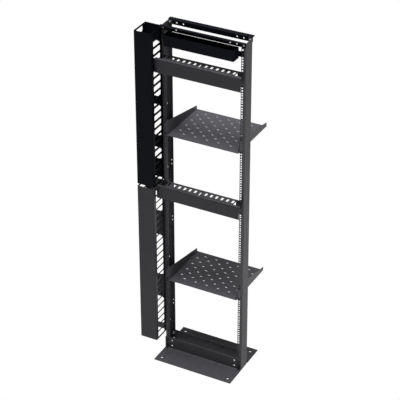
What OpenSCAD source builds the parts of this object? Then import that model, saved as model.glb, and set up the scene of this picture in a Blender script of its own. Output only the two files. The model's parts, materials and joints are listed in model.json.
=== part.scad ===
// Two post open frame rack, 45 units tall, with its cable managers and shelves.
// X runs across the rack, Y from front to back, Z up from the floor.
// The origin is on the floor, at the middle of the four floor anchor holes.

/* [Posts] */
// Width of the rack over the outer faces of the two posts
rack_width = 504; // [498:1:540]
// Clear opening between the front flanges of the posts
rail_opening = 450; // [446:1:453]
// Depth of each post, from front flange to rear flange
post_depth = 78; // [70:1:110]
// Width of the rear flange of each post
rear_flange = 24; // [20:1:40]
// Height of the top ends of the posts above the floor
post_top = 2115; // [2108:1:2200]
// Height of the lower ends of the posts above the floor
post_foot = 2; // [0:0.5:6]
// Sheet thickness of the posts
post_wall = 3; // [2:0.5:4]
// Inside radius of the bends of the posts
post_bend = 3; // [2:0.5:5]
// Distance of the frame bolts from the outer face of each post
bolt_inset = 13; // [12:0.5:15]
// Diameter of the accessory holes in the rear flanges
rear_hole = 7; // [5:0.5:9]
// Spacing of the two holes of each accessory pair
rear_pair = 25.4; // [20:0.1:32]

/* [Equipment rails] */
// Number of rack units on the rails
rack_units = 45; // [42:1:45]
// Height of the lowest rack unit above the floor
rail_start = 81.65; // [81:0.05:84]
// Spacing of the two hole columns
rail_columns = 465.12; // [464:0.01:467]
// Side of each square rail hole
rail_hole = 9.5; // [6:0.1:9.6]

/* [Base angles] */
// Depth of the base over both floor flanges
base_depth = 364; // [330:1:420]
// Height of the upright leg of each base angle
base_leg = 80; // [74:1:81]
// Plate thickness of the base angles
base_wall = 5; // [3:0.5:6]
// Inside radius of the bend of the base angles
base_bend = 4; // [3:0.5:8]
// Spacing of the floor anchor holes across the rack
anchor_x = 438; // [400:1:460]
// Spacing of the floor anchor holes from front to back
anchor_y = 296; // [270:1:300]
// Diameter of each floor anchor hole
anchor_hole = 14; // [10:0.5:18]
// Heights of the two rows of holes in the upright leg
base_row_low = 25; // [20:1:30]
base_row_high = 62; // [50:1:66]
// Distance from each bolt hole to the spare hole beside it
base_spare = 31; // [28:1:40]
// Diameter of the holes in the upright leg
base_hole = 11; // [8:0.5:12]

/* [Top angles] */
// Height of the upright leg of each top angle
top_leg = 30; // [26:1:32]
// Width of the level flange of each top angle
top_flange = 25; // [18:1:40]
// Plate thickness of the top angles
top_wall = 3; // [2:0.5:4]
// Rise of the top angles above the posts
top_rise = 7.5; // [4:0.5:9]
// Depth of the top angle holes below the level flange
top_hole_drop = 16.5; // [15:0.5:18]
// Spacing of the three holes at each end of a top angle
top_hole_pitch = 39.5; // [30:0.5:60]
// Diameter of the holes in the top angles
top_hole = 9; // [6:0.5:10]

/* [Equipment ears] */
// Width over the mounting ears of the equipment
ear_width = 482.6; // [480:0.1:484]
// Sheet thickness of folded equipment
sheet = 1.5; // [1:0.1:2]
// Distance from an outer slot to the end of an ear
ear_margin = 6.35; // [5.5:0.05:7]
// Height of the slots in the ears
ear_slot = 7; // [6:0.1:8]
// Length of the slots in the ears
ear_slot_length = 11; // [10:0.1:13]

/* [Top trough] */
// Rail hole, counted from the bottom, of the lower trough screw
trough_hole = 132; // [130:1:132]
// Length of the trough
trough_length = 420; // [380:1:440]
// Depth of the trough from the rails to its front wall
trough_depth = 58; // [40:1:80]
// Height of the trough
trough_height = 63; // [45:1:64]
// Depth of the trough floor below its lower screw
trough_drop = 17.5; // [10:0.5:19]
// Outside radius of the upright corners of the trough
trough_corner = 6; // [3:0.5:12]
// Height of the ears beyond their screws
trough_ear_margin = 8.5; // [6:0.5:10]

/* [Horizontal managers] */
// Rail hole of the lowest screw of the upper manager
upper_manager_hole = 120; // [110:1:120]
// Rail hole of the lowest screw of the middle manager
middle_manager_hole = 67; // [60:1:80]
// Depth from the rails to the front of the cover
manager_depth = 68; // [60:1:90]
// Length of the cover
cover_length = 514; // [484:1:514]
// Outside radius of the long edges of the cover
cover_radius = 11; // [6:0.5:14]
// Width of the lips that the cover turns back
cover_lip = 2.5; // [2:0.5:4]
// Depth of the finger plates from the rails to their front edge
finger_depth = 50; // [46:1:52]
// Number of finger slots in each half of a finger plate
finger_slots = 6; // [4:1:6]
// Spacing of the finger slots
finger_pitch = 33.3; // [28:0.1:33.5]
// Width of each finger slot
finger_slot = 13; // [8:0.5:18]
// Gap between the two finger plates of a row
finger_gap = 7; // [2:0.5:10]
// Length of each finger slot
finger_slot_length = 36; // [20:1:38]
// Solid edge behind the finger slots
finger_edge = 4; // [3:0.5:6]
// Width of the tabs that hold the cover
finger_tab = 24; // [16:1:28]
// Length over the two finger plates of a row
finger_length = 426; // [420:1:444]
// Width of the bar between the two cable windows
window_bar = 20; // [12:1:40]
// Solid edge above, below and beside the cable windows
window_edge = 8; // [6:0.5:12]
// Corner radius of the cable windows
window_corner = 6; // [3:0.5:12]

/* [Shelves] */
// Rail hole of the lowest screw of the upper shelf
upper_shelf_hole = 93; // [84:3:102]
// Rail hole of the lowest screw of the lower shelf
lower_shelf_hole = 28; // [18:1:40]
// Width of the shelves between the posts
shelf_width = 440; // [430:1:444]
// Reach of the shelves behind the front face of the posts
shelf_reach = 340; // [300:1:400]
// Distance that the front edge stands before the posts
shelf_front = 12; // [6:1:20]
// Height of the side walls at the back
shelf_tail = 24; // [14:1:40]
// Length of each ventilation slot
vent_length = 15; // [8:0.5:24]
// Width of each ventilation slot
vent_width = 5; // [3:0.5:8]
// Spacing of the ventilation slots across the shelf
vent_pitch = 72.5; // [64:0.5:76]
// Spacing of the rows of ventilation slots
vent_row = 32.8; // [26:0.1:36]
// Number of rows of ventilation slots
vent_rows = 9; // [5:1:9]
// Distance of the first row behind the front face of the posts
vent_start = 45; // [30:1:50]

/* [Vertical manager] */
// Width over the two finger walls
vertical_width = 106.6; // [90:0.1:140]
// Gap between the inner finger wall and the post
vertical_gap = 6; // [5.5:0.5:12]
// Depth from the back plate to the front of the cover
vertical_depth = 124; // [110:1:150]
// Distance of the back plate behind the front face of the posts
vertical_set = 27; // [24:1:32]
// Height of the lower end of the lower section above the floor
vertical_start = 108; // [90:1:130]
// Length of the lower section
lower_length = 1037; // [1020:1:1045]
// Gap between the two sections
section_gap = 14; // [6:1:20]
// Length of the upper section
upper_length = 941; // [930:1:945]
// Depth of the returns of the cover inside the walls
cover_return = 12; // [8:1:16]
// Distance of the wall slots behind the front of the cover
slot_set = 20; // [18:1:24]
// Radius of the upright edges of the cover
vertical_corner = 4; // [2.5:0.5:6]
// Spacing of the finger slots in the walls, one rack unit
wall_pitch = 44.45; // [40:0.05:46]
// Height of each finger slot in the walls of the upper section
upper_slot = 30; // [24:0.5:34]
// Height of each finger slot in the walls of the lower section
lower_slot = 36; // [24:0.5:37]
// Least solid wall at the top and bottom of each section
wall_margin = 10; // [8:0.5:20]
// Solid wall behind the finger slots
wall_back = 31; // [20:0.5:34]
// Width of the flange of the back plate that is bolted to the post
side_flange = 28; // [20:1:34]
// Width of the cable ports in the back plates
port_width = 80; // [60:1:84]
// Corner radius of the cable ports
port_corner = 24; // [10:1:30]
// Diameter of the bolt holes between the sections and the post
side_hole = 7; // [5:0.5:8]

/* [Hidden] */
$fn = 32;

unit = 44.45;
unit_holes = [6.35, 22.225, 38.1];
side_x = rack_width / 2;
front_y = -post_depth / 2;
rear_y = post_depth / 2;
front_flange = (rack_width - rail_opening) / 2;
bolt_x = side_x - bolt_inset;
top_z = post_top + top_rise;
eps = 0.5;
fit = 0.3;

satin_black = "#2b2b2f";
deep_black = "#15171c";
cover_grey = "#3a3a3e";

// Height of a rail hole above the floor, counted from the lowest hole
function hole_z(i) = rail_start + floor(i / 3) * unit + unit_holes[i % 3];

// Ears: lower end, height and slot heights of equipment that spans two units
function ear_z(i) = hole_z(i) - ear_margin;
function ear_h(i) = hole_z(i + 5) - hole_z(i) + 2 * ear_margin;

module slot2d(length, width) {
    square([length - width, width], center = true);
    for (side = [-1, 1])
        translate([side * (length - width) / 2, 0]) circle(d = width);
}

module round_rect2d(w, h, r) {
    square([w - 2 * r, h], center = true);
    square([w, h - 2 * r], center = true);
    for (sx = [-1, 1], sy = [-1, 1])
        translate([sx * (w / 2 - r), sy * (h / 2 - r)]) circle(r);
}

// Quarter ring of a folded corner, in the lower left quadrant of its centre
module bend2d(r_in, wall) {
    intersection() {
        difference() {
            circle(r_in + wall);
            circle(r_in);
        }
        translate([-r_in - wall, -r_in - wall]) square(r_in + wall);
    }
}

// Angle section with its outer corner at the origin
module angle2d(a, b, wall, r_in) {
    r = r_in + wall;
    translate([r, 0]) square([a - r, wall]);
    translate([0, r]) square([wall, b - r]);
    translate([r, r]) bend2d(r_in, wall);
}

// Turns an outline that is drawn front to back and up into a bar along X
module along_x(length) {
    rotate([90, 0, 90]) linear_extrude(length, center = true) children();
}

// Cuts through an upright plate that faces front
module through_y(x, y, z, depth) {
    translate([x, y, z]) rotate([90, 0, 0])
        linear_extrude(depth, center = true) children();
}

// ---- posts ----

// Each post is a folded channel: a web, a front rail and a rear rail, which
// meet where the bends begin. These profiles are of the left post, with its
// outer face at x = 0.
post_r = post_bend + post_wall;

module web_profile() {
    translate([0, front_y + post_r]) square([post_wall, post_depth - 2 * post_r]);
}

module front_rail_profile() {
    translate([post_r, front_y]) square([front_flange - post_r, post_wall]);
    translate([post_r, front_y + post_r]) bend2d(post_bend, post_wall);
}

module rear_rail_profile() {
    translate([post_r, rear_y - post_wall]) square([rear_flange - post_r, post_wall]);
    mirror([0, 1]) translate([post_r, front_y + post_r]) bend2d(post_bend, post_wall);
}

// Raises a profile to the height of a post
module post_length() {
    translate([0, 0, post_foot]) linear_extrude(post_top - post_foot) children();
}

// Heights of the lower hole of each accessory pair in the rear rails
rear_pairs = [276, 860, 1231];

// Heights of the bolts that hold a section of the vertical manager
function side_bolts(z, length) = [z + 70, z + length / 2, z + length - 70];

// Holes of the frame bolts, through a rail at the given depth
module frame_holes(y) {
    for (z = [base_row_low, base_row_high])
        through_y(bolt_inset, y, z, post_wall + 2 * eps) circle(d = base_hole);
    through_y(bolt_inset, y, top_z - top_hole_drop, post_wall + 2 * eps)
        circle(d = top_hole);
}

module post_web(side_rows) {
    difference() {
        post_length() web_profile();
        for (z = side_rows)
            translate([-eps, back_y + side_flange / 2, z]) rotate([0, 90, 0])
                cylinder(d = side_hole, h = post_wall + 2 * eps);
    }
}

module post_front_rail() {
    y = front_y + post_wall / 2;
    difference() {
        post_length() front_rail_profile();
        for (i = [0 : 3 * rack_units - 1])
            translate([side_x - rail_columns / 2, y, hole_z(i)])
                cube([rail_hole, post_wall + 2 * eps, rail_hole], center = true);
        frame_holes(y);
    }
}

module post_rear_rail() {
    y = rear_y - post_wall / 2;
    difference() {
        post_length() rear_rail_profile();
        for (low = rear_pairs, z = [low, low + rear_pair])
            through_y(bolt_inset, y, z, post_wall + 2 * eps) circle(d = rear_hole);
        frame_holes(y);
    }
}

// Places a piece of the left post, or its mirror image on the right
module on_left() {
    color(satin_black) translate([-side_x, 0, 0]) children();
}

module on_right() {
    mirror([1, 0, 0]) on_left() children();
}

// ---- base and top angles ----

module base_angle() {
    foot = base_depth / 2 + front_y;
    difference() {
        translate([0, front_y, 0]) mirror([0, 1, 0]) along_x(rack_width)
            angle2d(foot, base_leg, base_wall, base_bend);
        for (side = [-1, 1]) {
            translate([side * anchor_x / 2, -anchor_y / 2, -eps])
                cylinder(d = anchor_hole, h = base_wall + 2 * eps);
            for (z = [base_row_low, base_row_high], x = [bolt_x, bolt_x - base_spare])
                through_y(side * x, front_y - base_wall / 2, z, base_wall + 2 * eps)
                    circle(d = base_hole);
        }
    }
}

module front_base_angle() {
    color(satin_black) base_angle();
}

module rear_base_angle() {
    color(satin_black) mirror([0, 1, 0]) base_angle();
}

module top_angle() {
    difference() {
        translate([0, front_y, top_z]) mirror([0, 1, 0]) mirror([0, 0, 1])
            along_x(rack_width)
                angle2d(top_flange, top_leg, top_wall, post_bend);
        for (side = [-1, 1], i = [0 : 2])
            through_y(side * (bolt_x - i * top_hole_pitch), front_y - top_wall / 2,
                top_z - top_hole_drop, top_wall + 2 * eps) circle(d = top_hole);
    }
}

module front_top_angle() {
    color(satin_black) top_angle();
}

module rear_top_angle() {
    color(satin_black) mirror([0, 1, 0]) top_angle();
}

// ---- ears ----

// Slots at the given rail holes, on both sides
module ear_slots(holes) {
    for (side = [-1, 1], i = holes)
        through_y(side * rail_columns / 2, front_y - sheet / 2, hole_z(i),
            sheet + 2 * eps) slot2d(ear_slot_length, ear_slot);
}

// ---- top trough ----

module trough_outline(inset) {
    // The corners at the back stay square, against the rails
    r = trough_corner - inset;
    w = trough_length - 2 * inset;
    d = trough_depth - 2 * inset;
    translate([-w / 2, front_y - trough_depth + inset]) {
        translate([r, 0]) square([w - 2 * r, d]);
        translate([0, r]) square([w, d - r]);
        for (x = [r, w - r]) translate([x, r]) circle(r);
    }
}

module top_trough() {
    low = hole_z(trough_hole) - trough_drop;
    ear_low = hole_z(trough_hole) - trough_ear_margin;
    ear_high = hole_z(trough_hole + 1) + trough_ear_margin;
    color(deep_black) difference() {
        union() {
            translate([0, 0, low]) linear_extrude(trough_height) trough_outline(0);
            translate([-ear_width / 2, front_y - sheet, ear_low])
                cube([ear_width, sheet, ear_high - ear_low]);
        }
        translate([0, 0, low + sheet]) linear_extrude(trough_height)
            trough_outline(sheet);
        ear_slots([trough_hole, trough_hole + 1]);
    }
}

// ---- horizontal managers ----

// The finger plates lie just inside the lips of the cover
finger_inset = 2 * sheet + fit;

// Back plate with its ears and two cable windows
module manager_frame(i) {
    window_h = ear_h(i) - 2 * (finger_inset + window_edge);
    window_w = (finger_length - window_bar) / 2 - window_edge;
    color(satin_black) difference() {
        translate([-ear_width / 2, front_y - sheet, ear_z(i)])
            cube([ear_width, sheet, ear_h(i)]);
        for (side = [-1, 1])
            through_y(side * (window_bar + window_w) / 2, front_y - sheet / 2,
                ear_z(i) + ear_h(i) / 2, sheet + 2 * eps)
                round_rect2d(window_w, window_h, window_corner);
        ear_slots([i, i + 5]);
    }
}

// One row of fingers: two slotted plates, with tabs that reach under the lip
// of the cover
module finger_row(height) {
    plate = finger_depth - sheet;
    tab = manager_depth - cover_radius - finger_depth;
    half = (finger_length - finger_gap) / 2;
    for (side = [0, 1]) mirror([side, 0, 0])
        translate([0, front_y - sheet, height]) linear_extrude(sheet)
            difference() {
                union() {
                    translate([finger_gap / 2, -plate]) square([half, plate]);
                    for (x = [1.5, 3.5, 5.5] * finger_pitch)
                        translate([x - finger_tab / 2, -plate - tab])
                            square([finger_tab, tab + 1]);
                }
                for (k = [1 : finger_slots])
                    translate([k * finger_pitch,
                        -finger_edge - finger_slot_length / 2])
                        rotate(90) slot2d(finger_slot_length, finger_slot);
            }
}

module manager_top_fingers(i) {
    color(satin_black) finger_row(ear_z(i) + ear_h(i) - finger_inset);
}

module manager_bottom_fingers(i) {
    color(satin_black) translate([0, 0, 2 * ear_z(i) + ear_h(i)])
        mirror([0, 0, 1]) finger_row(ear_z(i) + ear_h(i) - finger_inset);
}

// Front cover, a shallow channel with rounded long edges
module cover_profile(h) {
    r = cover_radius;
    module rim() {
        translate([r, r]) bend2d(r - sheet, sheet);
        translate([r, 0]) square([cover_lip, sheet]);
    }
    translate([0, r]) square([sheet, h - 2 * r]);
    rim();
    translate([0, h]) mirror([0, 1]) rim();
}

module manager_cover(i) {
    color(cover_grey) translate([0, front_y - manager_depth, ear_z(i)])
        along_x(cover_length) cover_profile(ear_h(i));
}

// ---- shelves ----

// Folded shelf: vented deck, tapered side walls and ears
module shelf(i) {
    low = ear_z(i);
    high = ear_h(i);
    color(satin_black) difference() {
        union() {
            translate([-shelf_width / 2, front_y - shelf_front, low])
                cube([shelf_width, shelf_front + shelf_reach, sheet]);
            for (side = [-1, 1])
                translate([side * (shelf_width / 2 - sheet / 2), front_y, low])
                    along_x(sheet) polygon([[-shelf_front, 0], [-shelf_front, sheet],
                        [-sheet, high], [0, high],
                        [shelf_reach, shelf_tail], [shelf_reach, 0]]);
            for (side = [0, 1]) mirror([side, 0, 0])
                translate([shelf_width / 2 - sheet, front_y - sheet, low])
                    cube([(ear_width - shelf_width) / 2 + sheet, sheet, high]);
        }
        for (row = [0 : vent_rows - 1])
            for (k = [-3 : 3 - (row % 2)])
                if (abs(k + (row % 2) / 2) < 2.6)
                    translate([(k + (row % 2) / 2) * vent_pitch,
                        front_y + vent_start + row * vent_row, low + sheet / 2])
                        linear_extrude(sheet + 2 * eps, center = true)
                            slot2d(vent_length, vent_width);
        ear_slots([i, i + 5]);
    }
}

// ---- vertical manager ----

inner_x = -side_x - vertical_gap;
outer_x = inner_x - vertical_width;
back_y = front_y + vertical_set;
cover_y = back_y - vertical_depth;
upper_start = vertical_start + lower_length + section_gap;

// Cable ports: the lower end and the height of each, from the foot of the section
lower_ports = [[41, 190], [389, 273], [825, 127]];
upper_ports = [[118, 71], [266, 192], [510, 147], [736, 110]];

// Back plate, with a flange at its inner edge that is bolted to the post
module section_back(z, length, ports) {
    color(satin_black) difference() {
        translate([0, 0, z]) linear_extrude(length) {
            translate([outer_x, back_y - sheet]) square([-side_x - outer_x, sheet]);
            translate([-side_x - sheet, back_y - sheet]) square([sheet, side_flange]);
        }
        for (port = ports)
            through_y(outer_x + vertical_width / 2, back_y - sheet / 2,
                z + port[0] + port[1] / 2, sheet + 2 * eps)
                round_rect2d(port_width, port[1], port_corner);
        for (h = side_bolts(z, length))
            translate([-side_x - sheet - eps, back_y + side_flange / 2, h])
                rotate([0, 90, 0]) cylinder(d = side_hole, h = sheet + 2 * eps);
    }
}

// A finger wall, whose outer face is at x = 0 and which stands on the back plate
module finger_wall(z, length, slot) {
    front = cover_y + sheet / 2;
    back = back_y - sheet;
    slot_front = cover_y + slot_set;
    slot_back = back_y - wall_back;
    count = floor((length - 2 * wall_margin + wall_pitch - slot) / wall_pitch);
    first = (length - (count - 1) * wall_pitch) / 2;
    difference() {
        translate([0, front, z]) cube([sheet, back - front, length]);
        for (k = [0 : count - 1])
            translate([sheet / 2, (slot_front + slot_back) / 2,
                z + first + k * wall_pitch]) rotate([90, 0, 90])
                linear_extrude(sheet + 2 * eps, center = true)
                    round_rect2d(slot_back - slot_front, slot, 7);
    }
}

module section_outer_wall(z, length, slot) {
    color(satin_black) translate([outer_x, 0, 0]) finger_wall(z, length, slot);
}

module section_inner_wall(z, length, slot) {
    color(satin_black) translate([inner_x - sheet, 0, 0]) finger_wall(z, length, slot);
}

// Front cover, whose returns clip inside the front edges of both walls
module section_cover(z, length, finish) {
    w = vertical_width - 2 * (sheet + fit);
    r = vertical_corner;
    module side() {
        translate([r, r]) bend2d(r - sheet, sheet);
        translate([0, r]) square([sheet, cover_return - r]);
    }
    color(finish) translate([outer_x + sheet + fit, cover_y, z])
        linear_extrude(length) {
            translate([r, 0]) square([w - 2 * r, sheet]);
            side();
            translate([w, 0]) mirror([1, 0]) side();
        }
}

on_left() post_web(concat(side_bolts(vertical_start, lower_length),  // left_post_web
        side_bolts(upper_start, upper_length)));
on_left() post_front_rail();  // left_post_front_rail
on_left() post_rear_rail();  // left_post_rear_rail
on_right() post_web([]);  // right_post_web
on_right() post_front_rail();  // right_post_front_rail
on_right() post_rear_rail();  // right_post_rear_rail
front_base_angle();
rear_base_angle();
front_top_angle();
rear_top_angle();
top_trough();
manager_frame(upper_manager_hole);  // upper_manager_frame
manager_top_fingers(upper_manager_hole);  // upper_manager_top_fingers
manager_bottom_fingers(upper_manager_hole);  // upper_manager_bottom_fingers
manager_cover(upper_manager_hole);  // upper_manager_cover
manager_frame(middle_manager_hole);  // middle_manager_frame
manager_top_fingers(middle_manager_hole);  // middle_manager_top_fingers
manager_bottom_fingers(middle_manager_hole);  // middle_manager_bottom_fingers
manager_cover(middle_manager_hole);  // middle_manager_cover
shelf(upper_shelf_hole);  // upper_shelf
shelf(lower_shelf_hole);  // lower_shelf
section_back(upper_start, upper_length, upper_ports);  // upper_section_back
section_outer_wall(upper_start, upper_length, upper_slot);  // upper_section_outer_wall
section_inner_wall(upper_start, upper_length, upper_slot);  // upper_section_inner_wall
section_cover(upper_start, upper_length, deep_black);  // upper_section_cover
section_back(vertical_start, lower_length, lower_ports);  // lower_section_back
section_outer_wall(vertical_start, lower_length, lower_slot);  // lower_section_outer_wall
section_inner_wall(vertical_start, lower_length, lower_slot);  // lower_section_inner_wall
section_cover(vertical_start, lower_length, cover_grey);  // lower_section_cover
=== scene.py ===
# %% [markdown]
# # A two post open frame rack, dressed for a studio picture
#
# The rack is folded and punched sheet steel with a satin black powder coat. Its sheet
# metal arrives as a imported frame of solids, and these cells add what a fitter brings
# to it: bolts, screws and cage nuts. Then they give every surface a coat, and light it.
# Each step says first what the real piece is, and why it is made this way.

# %% Load the frame
import json
import math

import bmesh
import bpy
from mathutils import Matrix, Vector

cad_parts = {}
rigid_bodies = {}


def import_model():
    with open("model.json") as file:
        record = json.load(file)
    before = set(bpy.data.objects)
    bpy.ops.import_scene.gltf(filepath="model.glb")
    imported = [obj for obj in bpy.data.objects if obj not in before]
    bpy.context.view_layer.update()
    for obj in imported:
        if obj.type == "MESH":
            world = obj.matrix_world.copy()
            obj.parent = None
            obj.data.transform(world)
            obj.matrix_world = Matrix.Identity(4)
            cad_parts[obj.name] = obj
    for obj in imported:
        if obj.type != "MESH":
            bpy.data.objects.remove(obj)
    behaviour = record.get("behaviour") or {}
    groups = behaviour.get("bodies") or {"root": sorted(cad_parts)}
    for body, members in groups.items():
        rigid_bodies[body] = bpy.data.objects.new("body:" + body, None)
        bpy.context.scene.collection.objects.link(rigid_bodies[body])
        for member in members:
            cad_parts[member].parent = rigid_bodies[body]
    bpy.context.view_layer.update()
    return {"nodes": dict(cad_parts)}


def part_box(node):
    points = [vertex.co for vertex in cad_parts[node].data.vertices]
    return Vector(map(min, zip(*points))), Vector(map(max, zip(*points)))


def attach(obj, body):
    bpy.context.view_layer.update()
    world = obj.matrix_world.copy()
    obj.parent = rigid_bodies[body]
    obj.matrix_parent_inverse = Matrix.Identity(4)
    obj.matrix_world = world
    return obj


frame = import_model()
nodes = frame["nodes"]

# %% [markdown]
# ## The camera
#
# The picture is taken from the right front and from above, with a long lens, so the
# upright posts stay nearly parallel. The camera is placed by its two angles: a
# direction towards the rack is turned into a rotation with `to_track_quat`, which is
# safer than typing three Euler angles. The small roll turns it about its own axis.

# %% Place the camera
azimuth, elevation, roll = math.radians(27.95), math.radians(31.24), math.radians(-0.08)
back = Vector((math.sin(azimuth) * math.cos(elevation),
               -math.cos(azimuth) * math.cos(elevation), math.sin(elevation)))
lens_data = bpy.data.cameras.new("studio_camera")
lens_data.sensor_width = 36.0
lens_data.lens = 140.86
lens_data.clip_start, lens_data.clip_end = 0.5, 60.0
camera = bpy.data.objects.new("studio_camera", lens_data)
bpy.context.scene.collection.objects.link(camera)
camera.rotation_mode = "QUATERNION"
camera.location = (3.4807, -6.6357, 5.6245)
camera.rotation_quaternion = (-back).to_track_quat("-Z", "Y") @ Matrix.Rotation(
    roll, 4, "Z").to_quaternion()
bpy.context.scene.camera = camera
print("camera distance", round(camera.location.length, 2), "m")

# %% [markdown]
# ## Where the fasteners go
#
# Every bolt sits in a hole that the sheet metal already has, so its place is worked
# out from the boxes of the nodes and from a few sizes that such a rack keeps: the
# hole columns of the rails are 465.12 mm apart, and a slot in an ear lies 6.35 mm
# from the end of the ear. Nothing is placed by eye.

# %% Sizes that the fasteners follow
MM = 0.001
COLUMN = 465.12 * MM / 2          # half the distance between the two rail columns
EAR_MARGIN = 6.35 * MM            # from an ear's end to its slot
SHEET = 1.5 * MM                  # folded equipment sheet
POST_WALL = 3.0 * MM
FRAME_BOLT = 239.0 * MM           # the frame bolts, measured from the middle
SIDE_FLANGE = 28.0 * MM           # the flange that bolts the cable duct to the post
SIDE_BOLT_END = 70.0 * MM         # from the end of a duct section to its outer bolts
TOP_BOLT_DROP = 16.5 * MM         # the top bolts, below the top of the rack
TROUGH_HOLE = 17.5 * MM           # the lower slot in the ears of the trough
HOLE_STEP = 15.875 * MM           # between two holes of one rack unit
front_rail, rear_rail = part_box("left_post_front_rail"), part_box("left_post_rear_rail")
FRONT, REAR = front_rail[0].y, rear_rail[1].y
print("rail face at y", round(FRONT, 4), "rear flange at y", round(REAR, 4))

# %% [markdown]
# ## Helpers for turned and pressed parts
#
# A screw head is a turned shape, so it is drawn once as a half profile and spun about
# its axis with `bmesh.ops.spin`. The helper returns a bmesh that stands on z = 0 and
# points up, and `stamp` copies it to each hole and joins the copies into one mesh.
# One object with twenty heads is lighter than twenty objects, and the copies are
# placed in the mesh, so the object itself stays at the origin, unturned.

# %% Spin a profile, and stamp copies into one object
def spun(profile, steps=24):
    """A closed turned shape from (radius, height) points that start and end on the axis."""
    bm = bmesh.new()
    verts = [bm.verts.new((r, 0.0, h)) for r, h in profile]
    edges = [bm.edges.new(pair) for pair in zip(verts, verts[1:])]
    bmesh.ops.spin(bm, geom=verts + edges, cent=(0, 0, 0), axis=(0, 0, 1),
                   angle=math.tau, steps=steps, use_merge=True)
    bmesh.ops.remove_doubles(bm, verts=bm.verts, dist=1e-6)
    bmesh.ops.recalc_face_normals(bm, faces=bm.faces)
    return bm


def placed(point, direction, turn=0.0):
    """A matrix that takes +Z of a shape to a direction, at a point."""
    spin_about = Matrix.Rotation(turn, 4, "Z")
    return (Matrix.Translation(point)
            @ Vector(direction).to_track_quat("Z", "Y").to_matrix().to_4x4() @ spin_about)


def stamp(name, shapes, places, smooth=True):
    """Joins copies of one or more bmeshes, one set per place, into a new object."""
    out = bmesh.new()
    for matrix in places:
        for shape in shapes:
            mesh = bpy.data.meshes.new("one")
            shape.to_mesh(mesh)
            mesh.transform(matrix)
            out.from_mesh(mesh)
            bpy.data.meshes.remove(mesh)
    mesh = bpy.data.meshes.new(name)
    out.to_mesh(mesh)
    out.free()
    obj = bpy.data.objects.new(name, mesh)
    bpy.context.scene.collection.objects.link(obj)
    if smooth:
        mesh.shade_smooth()
        mesh.set_sharp_from_angle(angle=math.radians(35))
    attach(obj, "root")
    print(name, len(places), "places,", len(mesh.polygons), "faces")
    return obj


# %% [markdown]
# ## Hexagon bolts of the base
#
# The two base angles are held to the flanges of the posts with M10 bolts. A real head
# is a hexagon whose corners are turned off at about thirty degrees. A hexagon is
# grown from a circle of six corners, and the corners are turned off by bevelling only
# the top rim. A washer lies under it, and a nut with a threaded end behind the sheet.

# %% Hexagon head, washer, and nut
def hexagon(across, height, chamfer):
    bm = bmesh.new()
    bmesh.ops.create_circle(bm, cap_ends=True, segments=6, radius=across / math.sqrt(3))
    grown = bmesh.ops.extrude_face_region(bm, geom=list(bm.faces))
    top = [v for v in grown["geom"] if isinstance(v, bmesh.types.BMVert)]
    bmesh.ops.translate(bm, verts=top, vec=(0, 0, height))
    rim = [e for e in bm.edges if all(v in top for v in e.verts)]
    bmesh.ops.bevel(bm, geom=rim, offset=chamfer, offset_type="OFFSET", segments=2,
                    profile=0.5, affect="EDGES", material=-1)
    bmesh.ops.recalc_face_normals(bm, faces=bm.faces)
    return bm


def washer(outer, height):
    return spun([(0, 0), (outer * 0.96, 0), (outer, height * 0.25),
                 (outer, height * 0.75), (outer * 0.96, height), (0, height)])


def bolt_end(radius, reach):
    """The free end of a bolt, chamfered, with a few thread rings near its tip."""
    pitch = radius * 0.3
    profile = [(0, 0), (radius, 0)]
    h = pitch
    while h < reach - pitch:
        profile += [(radius, h), (radius * 0.86, h + pitch * 0.5)]
        h += pitch
    return spun(profile + [(radius, reach - pitch * 0.6), (radius * 0.8, reach), (0, reach)])


def lifted(bm, height):
    bmesh.ops.translate(bm, verts=bm.verts, vec=(0, 0, height))
    return bm


hex_head = [washer(10.0 * MM, 2.0 * MM), lifted(hexagon(16.0 * MM, 6.4 * MM, 0.9 * MM), 2.0 * MM)]
hex_nut = [washer(10.0 * MM, 2.0 * MM), lifted(hexagon(16.0 * MM, 8.4 * MM, 0.9 * MM), 2.0 * MM),
           lifted(bolt_end(5.0 * MM, 5.0 * MM), 10.4 * MM)]

base_rows = (25.0 * MM, 62.0 * MM)
heads, nuts = [], []
for side in (-1, 1):
    for z in base_rows:
        for way, face in ((-1, FRONT), (1, REAR)):
            heads.append(placed((side * FRAME_BOLT, face + way * 5.0 * MM, z), (0, way, 0), 0.35))
            nuts.append(placed((side * FRAME_BOLT, face - way * POST_WALL, z), (0, -way, 0), 0.1))
base_bolts = stamp("base_bolts", hex_head, heads)
base_nuts = stamp("base_nuts", hex_nut, nuts)

# %% [markdown]
# ## Button heads of the top angles and of the cable duct
#
# Where a hexagon would foul a cable, a low button head is used. The dome is spun, and
# the hexagon socket in it is made from two loops: a round rim and a hexagon inside it,
# joined with `bridge_loops`. The hexagon is then extruded down to form the socket.

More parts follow.
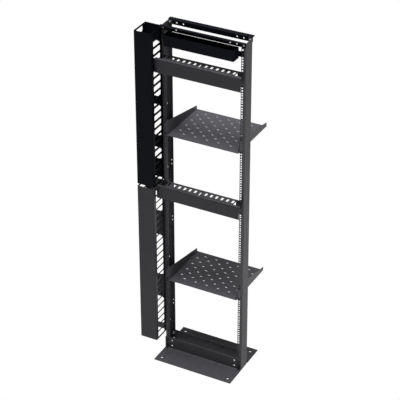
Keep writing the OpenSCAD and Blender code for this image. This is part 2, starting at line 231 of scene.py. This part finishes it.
# %% Button head with a hexagon socket
def button_head(radius, height, socket):
    steps = 24
    rim = radius * 0.62
    bm = bmesh.new()
    profile = [(radius * 0.97, 0), (radius, height * 0.18), (radius * 0.94, height * 0.5),
               (radius * 0.8, height * 0.82), (rim, height)]
    verts = [bm.verts.new((r, 0.0, h)) for r, h in profile]
    edges = [bm.edges.new(pair) for pair in zip(verts, verts[1:])]
    bmesh.ops.spin(bm, geom=verts + edges, cent=(0, 0, 0), axis=(0, 0, 1),
                   angle=math.tau, steps=steps, use_merge=True)
    bmesh.ops.remove_doubles(bm, verts=bm.verts, dist=1e-6)
    bmesh.ops.holes_fill(bm, edges=[e for e in bm.edges if e.is_boundary
                                    and e.verts[0].co.z < height * 0.1], sides=0)
    mouth = bmesh.ops.create_circle(bm, segments=6, radius=socket / math.sqrt(3))
    bmesh.ops.translate(bm, verts=mouth["verts"], vec=(0, 0, height))
    loops = [e for e in bm.edges if (e.is_boundary or e.is_wire)
             and min(v.co.z for v in e.verts) > height * 0.99]
    bmesh.ops.bridge_loops(bm, edges=loops)
    well = [e for e in bm.edges if e.is_boundary]
    grown = bmesh.ops.extrude_edge_only(bm, edges=well)
    deep = [v for v in grown["geom"] if isinstance(v, bmesh.types.BMVert)]
    bmesh.ops.translate(bm, verts=deep, vec=(0, 0, -height * 0.6))
    bmesh.ops.holes_fill(bm, edges=[e for e in bm.edges if e.is_boundary], sides=0)
    bmesh.ops.recalc_face_normals(bm, faces=bm.faces)
    return bm


top_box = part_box("front_top_angle")
top_line = top_box[1].z - TOP_BOLT_DROP
m8_head = [button_head(7.0 * MM, 4.4 * MM, 5.0 * MM)]
m8_nut = [hexagon(13.0 * MM, 6.5 * MM, 0.8 * MM), lifted(bolt_end(4.0 * MM, 3.0 * MM), 6.5 * MM)]
heads, nuts = [], []
for side in (-1, 1):
    for way, face in ((-1, FRONT), (1, REAR)):
        heads.append(placed((side * FRAME_BOLT, face + way * 3.0 * MM, top_line), (0, way, 0), 0.2))
        nuts.append(placed((side * FRAME_BOLT, face - way * POST_WALL, top_line), (0, -way, 0)))
top_bolts = stamp("top_bolts", m8_head, heads)
top_nuts = stamp("top_nuts", m8_nut, nuts)

m6_head = [button_head(5.0 * MM, 3.0 * MM, 4.0 * MM)]
m6_nut = [washer(6.0 * MM, 1.2 * MM), lifted(hexagon(10.0 * MM, 5.0 * MM, 0.6 * MM), 1.2 * MM),
          lifted(bolt_end(3.0 * MM, 2.5 * MM), 6.2 * MM)]
heads, nuts = [], []
for section in ("lower", "upper"):
    low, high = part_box(section + "_section_back")
    y = high.y - SIDE_FLANGE / 2
    for z in (low.z + SIDE_BOLT_END, (low.z + high.z) / 2, high.z - SIDE_BOLT_END):
        heads.append(placed((high.x - SHEET, y, z), (-1, 0, 0), 0.3))
        nuts.append(placed((high.x + POST_WALL, y, z), (1, 0, 0)))
duct_bolts = stamp("duct_bolts", m6_head, heads)
duct_nuts = stamp("duct_nuts", m6_nut, nuts)

# %% [markdown]
# ## Rack screws and cage nuts
#
# Equipment is held in the square holes with an M6 pan head screw and a caged nut. The
# head has a cross recess. A cross is what is left of a three by three grid when its
# corners go, so the grid is cut to a cross, its twelve edges are bridged to the round
# top of the head, and the cross is pressed down.

# %% Pan head with a cross recess
def pan_head(radius, height):
    bm = bmesh.new()
    rim = radius * 0.68
    profile = [(radius * 0.98, 0), (radius, height * 0.35), (radius * 0.95, height * 0.66),
               (radius * 0.84, height * 0.9), (rim, height)]
    verts = [bm.verts.new((r, 0.0, h)) for r, h in profile]
    edges = [bm.edges.new(pair) for pair in zip(verts, verts[1:])]
    bmesh.ops.spin(bm, geom=verts + edges, cent=(0, 0, 0), axis=(0, 0, 1),
                   angle=math.tau, steps=24, use_merge=True)
    bmesh.ops.remove_doubles(bm, verts=bm.verts, dist=1e-6)
    bmesh.ops.holes_fill(bm, edges=[e for e in bm.edges if e.is_boundary
                                    and e.verts[0].co.z < height * 0.1], sides=0)
    grid = bmesh.ops.create_grid(bm, x_segments=3, y_segments=3, size=rim * 0.78)
    bmesh.ops.translate(bm, verts=grid["verts"], vec=(0, 0, height))
    tiles = {f for v in grid["verts"] for f in v.link_faces}
    corners = [f for f in tiles if min(abs(f.calc_center_median().x),
                                       abs(f.calc_center_median().y)) > rim * 0.3]
    bmesh.ops.delete(bm, geom=corners, context="FACES")
    lines = [v for v in grid["verts"] if v.is_valid]
    for v in lines:                                  # the arms are narrower than they are long
        for axis in (0, 1):
            if abs(v.co[axis]) < rim * 0.5:
                v.co[axis] *= 0.55
    loops = [e for e in bm.edges if e.is_boundary and min(v.co.z for v in e.verts) > height * 0.99]
    bmesh.ops.bridge_loops(bm, edges=loops)
    cross = [f for f in bm.faces if f.calc_center_median().xy.length < rim * 0.66
             and len(f.verts) == 4 and all(v in lines for v in f.verts)]
    pressed = bmesh.ops.extrude_face_region(bm, geom=cross)
    bmesh.ops.delete(bm, geom=cross, context="FACES_ONLY")
    deep = [v for v in pressed["geom"] if isinstance(v, bmesh.types.BMVert)]
    bmesh.ops.scale(bm, verts=deep, vec=(0.7, 0.7, 1), space=Matrix.Identity(4))
    bmesh.ops.translate(bm, verts=deep, vec=(0, 0, -height * 0.55))
    bmesh.ops.recalc_face_normals(bm, faces=bm.faces)
    return bm


# %% Cage nut: a spring cage round a square nut
def ring_nut(side, height, bore):
    """A square nut with a round bore through it: two squares, two circles, four bridges."""
    bm = bmesh.new()
    outer_low = bmesh.ops.create_circle(bm, segments=4, radius=side / math.sqrt(2))["verts"]
    bmesh.ops.rotate(bm, verts=outer_low, cent=(0, 0, 0),
                     matrix=Matrix.Rotation(math.pi / 4, 3, "Z"))
    bmesh.ops.create_circle(bm, segments=16, radius=bore)
    bmesh.ops.bridge_loops(bm, edges=list(bm.edges))
    grown = bmesh.ops.extrude_face_region(bm, geom=list(bm.faces))
    top = [v for v in grown["geom"] if isinstance(v, bmesh.types.BMVert)]
    bmesh.ops.translate(bm, verts=top, vec=(0, 0, height))
    bmesh.ops.recalc_face_normals(bm, faces=bm.faces)
    return bm


def cage():
    """A strip folded round the nut: back with a window, two sides, and lips into the hole."""
    bm = bmesh.new()
    t, w, d, h = 0.5 * MM, 13.0 * MM, 6.6 * MM, 11.0 * MM
    for side in (-1, 1):
        wall = bmesh.ops.create_grid(bm, x_segments=1, y_segments=1, size=0.5)["verts"]
        bmesh.ops.scale(bm, verts=wall, vec=(h * 0.8, d, 1))
        bmesh.ops.rotate(bm, verts=wall, matrix=Matrix.Rotation(math.pi / 2, 3, "X"))
        bmesh.ops.rotate(bm, verts=wall, matrix=Matrix.Rotation(math.pi / 2, 3, "Z"))
        bmesh.ops.translate(bm, verts=wall, vec=(side * w / 2, 0, d / 2))
        lip = bmesh.ops.create_grid(bm, x_segments=1, y_segments=1, size=0.5)["verts"]
        bmesh.ops.scale(bm, verts=lip, vec=(2.6 * MM, h * 0.5, 1))
        bmesh.ops.translate(bm, verts=lip, vec=(side * (w / 2 - 1.3 * MM), 0, 0))
    cap = bmesh.ops.create_circle(bm, segments=16, radius=3.6 * MM)["verts"]
    edge = bmesh.ops.create_circle(bm, segments=4, radius=w / math.sqrt(2))["verts"]
    bmesh.ops.rotate(bm, verts=edge, matrix=Matrix.Rotation(math.pi / 4, 3, "Z"))
    bmesh.ops.scale(bm, verts=edge, vec=(1, h * 0.8 / w, 1))
    ring = [e for e in bm.edges if all(v in cap or v in edge for v in e.verts)]
    bmesh.ops.bridge_loops(bm, edges=ring)
    bmesh.ops.translate(bm, verts=cap + edge, vec=(0, 0, d))
    bmesh.ops.remove_doubles(bm, verts=bm.verts, dist=1e-5)
    bmesh.ops.recalc_face_normals(bm, faces=bm.faces)
    bmesh.ops.solidify(bm, geom=list(bm.faces), thickness=t)
    return bm


screw = [washer(6.6 * MM, 1.0 * MM), lifted(pan_head(5.8 * MM, 4.0 * MM), 1.0 * MM)]
caged = [cage(), lifted(ring_nut(10.0 * MM, 5.0 * MM, 3.0 * MM), 0.8 * MM),
         bolt_end(2.9 * MM, 11.0 * MM)]


def ear_points(node, lower, upper):
    low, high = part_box(node)
    return [(side * COLUMN, z) for side in (-1, 1) for z in (low.z + lower, high.z - upper)]


ear_screws, cage_nuts = [], []
for node in ("upper_manager_frame", "middle_manager_frame", "upper_shelf", "lower_shelf"):
    ear_screws.append((node, ear_points(node, EAR_MARGIN, EAR_MARGIN)))
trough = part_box("top_trough")
trough_screws = [(side * COLUMN, trough[0].z + drop) for side in (-1, 1)
                 for drop in (TROUGH_HOLE, TROUGH_HOLE + HOLE_STEP)]
ear_screws.append(("top_trough", trough_screws))
for count, (node, points) in enumerate(ear_screws):
    stamp(node + "_screws", screw,
          [placed((x, FRONT - SHEET, z), (0, -1, 0), 0.4 + 1.7 * k + count)
           for k, (x, z) in enumerate(points)])
    stamp(node + "_cage_nuts", caged,
          [placed((x, FRONT + POST_WALL, z), (0, 1, 0)) for x, z in points])

# %% [markdown]
# ## Finishes
#
# Powder coat is a thick baked film. Close up it has a fine orange peel, and it is
# never quite even: a little glossier here, a little greyer there. What faces up is
# lightened in specks, which stands for dust and also paints in the light that falls
# from above. The colour and the roughness are driven by two noises on object coordinates,
# so the pattern stays at its real size on every piece, and a third noise gives the peel as a bump.

# %% Powder coat
def powder_coat(name, colour, rough, dust_and_top_light=0.02, peel=0.12, shine=0.5):
    mat = bpy.data.materials.new(name)
    mat.use_nodes = True
    tree = mat.node_tree
    new, link = tree.nodes.new, tree.links.new
    shader = tree.nodes["Principled BSDF"]
    where = new("ShaderNodeTexCoord")

    cloud = new("ShaderNodeTexNoise")
    cloud.inputs["Scale"].default_value = 6.0
    cloud.inputs["Detail"].default_value = 4.0
    link(where.outputs["Object"], cloud.inputs["Vector"])
    tint = new("ShaderNodeValToRGB")
    tint.color_ramp.elements[0].position, tint.color_ramp.elements[1].position = 0.3, 0.7
    tint.color_ramp.elements[0].color = (*[c * 0.88 for c in colour], 1)
    tint.color_ramp.elements[1].color = (*[c * 1.12 for c in colour], 1)
    link(cloud.outputs["Fac"], tint.inputs["Fac"])

    # Painted light: faces that look up are lightened in specks, partly as dust and partly as the
    # light that falls on them from above.
    geometry = new("ShaderNodeNewGeometry")
    upward = new("ShaderNodeSeparateXYZ")
    link(geometry.outputs["Normal"], upward.inputs["Vector"])
    dust_and_top_light_mask = new("ShaderNodeMapRange")
    dust_and_top_light_mask.inputs["From Min"].default_value = 0.6
    dust_and_top_light_mask.inputs["To Max"].default_value = 1.0
    link(upward.outputs["Z"], dust_and_top_light_mask.inputs["Value"])
    specks = new("ShaderNodeTexNoise")
    specks.inputs["Scale"].default_value = 45.0
    specks.inputs["Detail"].default_value = 6.0
    link(where.outputs["Object"], specks.inputs["Vector"])
    dust_and_top_light_amount = new("ShaderNodeMath")
    dust_and_top_light_amount.operation = "MULTIPLY"
    link(dust_and_top_light_mask.outputs["Result"], dust_and_top_light_amount.inputs[0])
    link(specks.outputs["Fac"], dust_and_top_light_amount.inputs[1])
    dust_and_top_light_mix = new("ShaderNodeMix")
    dust_and_top_light_mix.data_type = "RGBA"
    dust_and_top_light_mix.inputs["B"].default_value = (*[c + dust_and_top_light for c in colour], 1)
    link(dust_and_top_light_amount.outputs[0], dust_and_top_light_mix.inputs["Factor"])
    link(tint.outputs["Color"], dust_and_top_light_mix.inputs["A"])
    link(dust_and_top_light_mix.outputs["Result"], shader.inputs["Base Color"])

    gloss = new("ShaderNodeMapRange")
    gloss.inputs["To Min"].default_value = rough - 0.05
    gloss.inputs["To Max"].default_value = rough + 0.07
    link(specks.outputs["Fac"], gloss.inputs["Value"])
    link(gloss.outputs["Result"], shader.inputs["Roughness"])

    grain = new("ShaderNodeTexNoise")
    grain.inputs["Scale"].default_value = 900.0
    grain.inputs["Detail"].default_value = 2.0
    link(where.outputs["Object"], grain.inputs["Vector"])
    bump = new("ShaderNodeBump")
    bump.inputs["Strength"].default_value = peel
    bump.inputs["Distance"].default_value = 0.0004
    link(grain.outputs["Fac"], bump.inputs["Height"])
    link(bump.outputs["Normal"], shader.inputs["Normal"])
    shader.inputs["Specular IOR Level"].default_value = shine
    return mat


satin_black = powder_coat("satin_black_coat", (0.036, 0.035, 0.041), 0.42)
# Painted shade: a darker copy of the same satin coat, for the parts that lie in shade: the trough,
# the top angles and the upper duct section.
painted_shade_black = powder_coat("painted_shade_black_coat", (0.0022, 0.0028, 0.0050), 0.55,
                         dust_and_top_light=0.001, shine=0.08)
cover_black = powder_coat("cover_black_coat", (0.018, 0.0175, 0.0225), 0.42, shine=0.35)
shelf_black = powder_coat("shelf_black_coat", (0.056, 0.054, 0.064), 0.42, shine=0.6)

# %% [markdown]
# ## Zinc plate
#
# The fasteners are zinc plated steel. It is a metal, so its colour sits in the
# reflection, and the passivated layer makes it slightly blotchy.

# %% Zinc
def zinc_plate(name, colour, rough):
    mat = bpy.data.materials.new(name)
    mat.use_nodes = True
    tree = mat.node_tree
    new, link = tree.nodes.new, tree.links.new
    shader = tree.nodes["Principled BSDF"]
    shader.inputs["Metallic"].default_value = 1.0
    where = new("ShaderNodeTexCoord")
    blotch = new("ShaderNodeTexNoise")
    blotch.inputs["Scale"].default_value = 350.0
    blotch.inputs["Detail"].default_value = 3.0
    link(where.outputs["Object"], blotch.inputs["Vector"])
    tint = new("ShaderNodeValToRGB")
    tint.color_ramp.elements[0].color = (*[c * 0.8 for c in colour], 1)
    tint.color_ramp.elements[1].color = (*[min(1, c * 1.15) for c in colour], 1)
    link(blotch.outputs["Fac"], tint.inputs["Fac"])
    link(tint.outputs["Color"], shader.inputs["Base Color"])
    gloss = new("ShaderNodeMapRange")
    gloss.inputs["To Min"].default_value = rough - 0.08
    gloss.inputs["To Max"].default_value = rough + 0.1
    link(blotch.outputs["Fac"], gloss.inputs["Value"])
    link(gloss.outputs["Result"], shader.inputs["Roughness"])
    return mat


bright_zinc = zinc_plate("bright_zinc", (0.55, 0.56, 0.58), 0.32)
black_zinc = zinc_plate("black_zinc", (0.05, 0.05, 0.055), 0.38)

# %% Dress the nodes and the fasteners
coats = {name: satin_black for name in nodes}
# The trough, the top angles and the upper duct section get the darker copy of the coat, which
# paints in the shade they lie in.
for part_name in ("top_trough", "front_top_angle", "rear_top_angle"):
    coats[part_name] = painted_shade_black
for part_name in ("back", "outer_wall", "inner_wall", "cover"):
    coats["upper_section_" + part_name] = painted_shade_black
for name in ("upper_shelf", "lower_shelf"):
    coats[name] = shelf_black
for name in ("lower_section_cover", "upper_manager_cover", "middle_manager_cover"):
    coats[name] = cover_black
for name, coat in coats.items():
    obj = nodes[name]
    obj.data.materials.clear()
    obj.data.materials.append(coat)

for obj in bpy.data.objects:
    if obj.type != "MESH" or obj.name in nodes or obj.data.materials:
        continue
    plated = bright_zinc if "nut" in obj.name or obj.name == "top_bolts" else black_zinc
    obj.data.materials.append(plated)

# %% [markdown]
# ## Studio
#
# A pale floor runs out to the horizon. Seen directly by the camera it is plain white,
# which a Light Path node sorts out from all other rays. Everything else
# that it does, such as throwing light back up under the shelves, stays real.

# %% Floor
bm = bmesh.new()
bmesh.ops.create_grid(bm, x_segments=1, y_segments=1, size=12.0)
floor_mesh = bpy.data.meshes.new("studio_floor")
bm.to_mesh(floor_mesh)
bm.free()
floor = bpy.data.objects.new("studio_floor", floor_mesh)
bpy.context.scene.collection.objects.link(floor)

floor_mat = bpy.data.materials.new("pale_floor")
floor_mat.use_nodes = True
tree = floor_mat.node_tree
shader = tree.nodes["Principled BSDF"]
shader.inputs["Base Color"].default_value = (0.62, 0.62, 0.62, 1)
shader.inputs["Roughness"].default_value = 0.9
shader.inputs["Specular IOR Level"].default_value = 0.1
glow = tree.nodes.new("ShaderNodeEmission")
glow.inputs["Strength"].default_value = 1.0
path = tree.nodes.new("ShaderNodeLightPath")
seen = tree.nodes.new("ShaderNodeMath")
seen.operation = "MAXIMUM"
tree.links.new(path.outputs["Is Camera Ray"], seen.inputs[0])
tree.links.new(path.outputs["Is Transmission Ray"], seen.inputs[1])
blend = tree.nodes.new("ShaderNodeMixShader")
tree.links.new(seen.outputs[0], blend.inputs["Fac"])
tree.links.new(shader.outputs["BSDF"], blend.inputs[1])
tree.links.new(glow.outputs["Emission"], blend.inputs[2])
tree.links.new(blend.outputs["Shader"], tree.nodes["Material Output"].inputs["Surface"])
floor_mesh.materials.append(floor_mat)

# %% [markdown]
# ## Light
#
# One large soft lamp hangs high above, so that the lower shelf gets nearly as much
# light as the upper one. Weaker lamps stand at the right, at the front and behind,
# the last for views of the back. The world is a dim grey for light, which leaves the
# folds of the channels dark, and it is white for the camera.

# %% World and lamps
world = bpy.data.worlds.new("studio_world")
bpy.context.scene.world = world
world.use_nodes = True
tree = world.node_tree
sky = tree.nodes["Background"]
sky.inputs["Color"].default_value = (1, 1, 1, 1)
path = tree.nodes.new("ShaderNodeLightPath")
seen = tree.nodes.new("ShaderNodeMath")
seen.operation = "MAXIMUM"
tree.links.new(path.outputs["Is Camera Ray"], seen.inputs[0])
tree.links.new(path.outputs["Is Transmission Ray"], seen.inputs[1])
level = tree.nodes.new("ShaderNodeMapRange")
level.inputs["To Min"].default_value = 0.2
level.inputs["To Max"].default_value = 1.0
tree.links.new(seen.outputs[0], level.inputs["Value"])
tree.links.new(level.outputs["Result"], sky.inputs["Strength"])


def soft_lamp(name, place, aim, size, watts):
    light = bpy.data.lights.new(name, "AREA")
    light.shape = "SQUARE"
    light.size = size
    light.energy = watts
    lamp = bpy.data.objects.new(name, light)
    lamp.location = place
    lamp.rotation_mode = "QUATERNION"
    lamp.rotation_quaternion = (Vector(aim) - Vector(place)).to_track_quat("-Z", "Y")
    bpy.context.scene.collection.objects.link(lamp)
    return lamp


soft_lamp("overhead", (0.4, -1.3, 8.8), (0, 0, 1.0), 3.5, 980)
soft_lamp("right_side", (5.0, -1.0, 3.4), (0, 0, 1.0), 2.5, 26)
soft_lamp("front", (-0.8, -5.0, 2.0), (0, 0, 1.0), 2.5, 8)
soft_lamp("behind", (-5.0, 2.6, 1.0), (0, 0, 1.0), 2.5, 60)

bpy.context.scene.view_settings.view_transform = "Standard"
